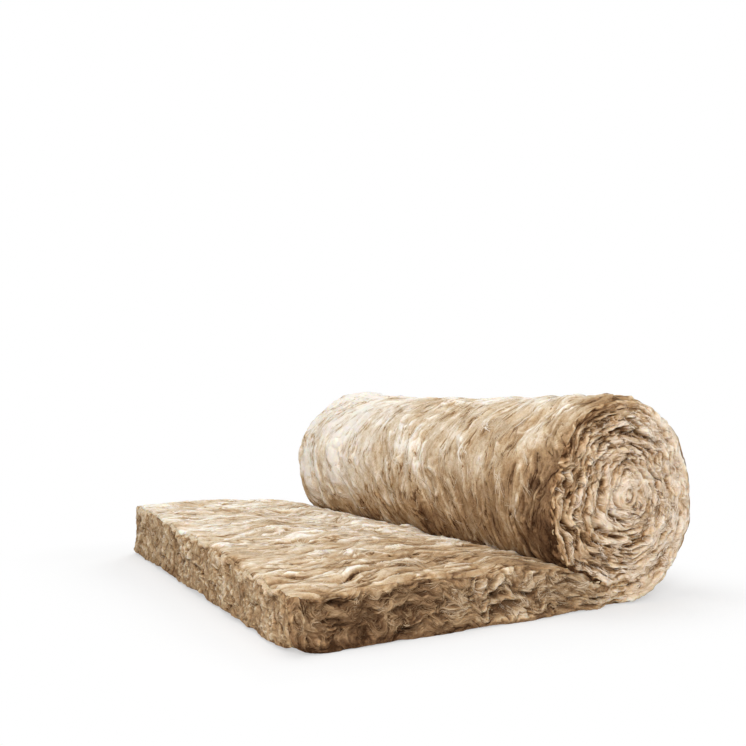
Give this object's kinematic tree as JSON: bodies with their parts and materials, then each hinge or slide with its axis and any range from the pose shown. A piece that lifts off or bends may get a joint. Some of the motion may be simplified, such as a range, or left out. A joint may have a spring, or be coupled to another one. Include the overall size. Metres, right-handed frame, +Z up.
{
  "type": "insulation roll",
  "caption": "Soft mat of glass wool wound into a tight spiral roll, with its outer end laid out flat on the floor and cut square.",
  "frame": {"origin": "on the floor, under the middle of the whole piece", "axes": "X runs along the mat, from the cut end at -X to the roll at +X; Y runs across the mat, along the roll's axis; Z is up"},
  "size_m": [1.0022, 1.14, 0.4384],
  "materials": {
    "glass_wool": "matt, soft tangled glass fibre in cream and light brown, with darker brown pits"
  },
  "bodies": {
    "root": {"glass_wool_mat": "glass_wool"}
  },
  "joints": []
}
